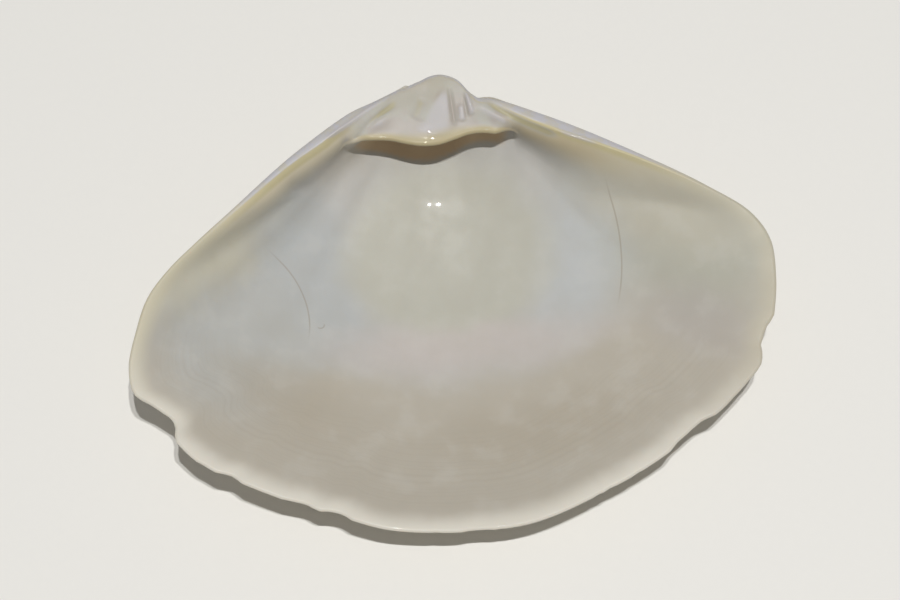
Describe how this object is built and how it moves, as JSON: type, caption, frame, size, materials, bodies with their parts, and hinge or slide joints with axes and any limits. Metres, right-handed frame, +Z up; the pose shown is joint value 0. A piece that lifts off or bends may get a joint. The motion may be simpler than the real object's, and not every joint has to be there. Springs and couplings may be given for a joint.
{
  "type": "surf clam shell valve",
  "caption": "One empty valve of a smooth surf clam, lying hollow side up, with its hinge plate, teeth and chipped rim.",
  "frame": {"origin": "on the surface that the valve rests on, under the middle of its bounding box", "axes": "+X along the length toward the longer slope, +Y toward the beak and hinge, +Z up out of the hollow"},
  "size_m": [0.0638, 0.047, 0.0137],
  "materials": {
    "shell": "porcelain-smooth inside, worn matt outside"
  },
  "bodies": {
    "root": {"valve": "shell"}
  },
  "joints": []
}
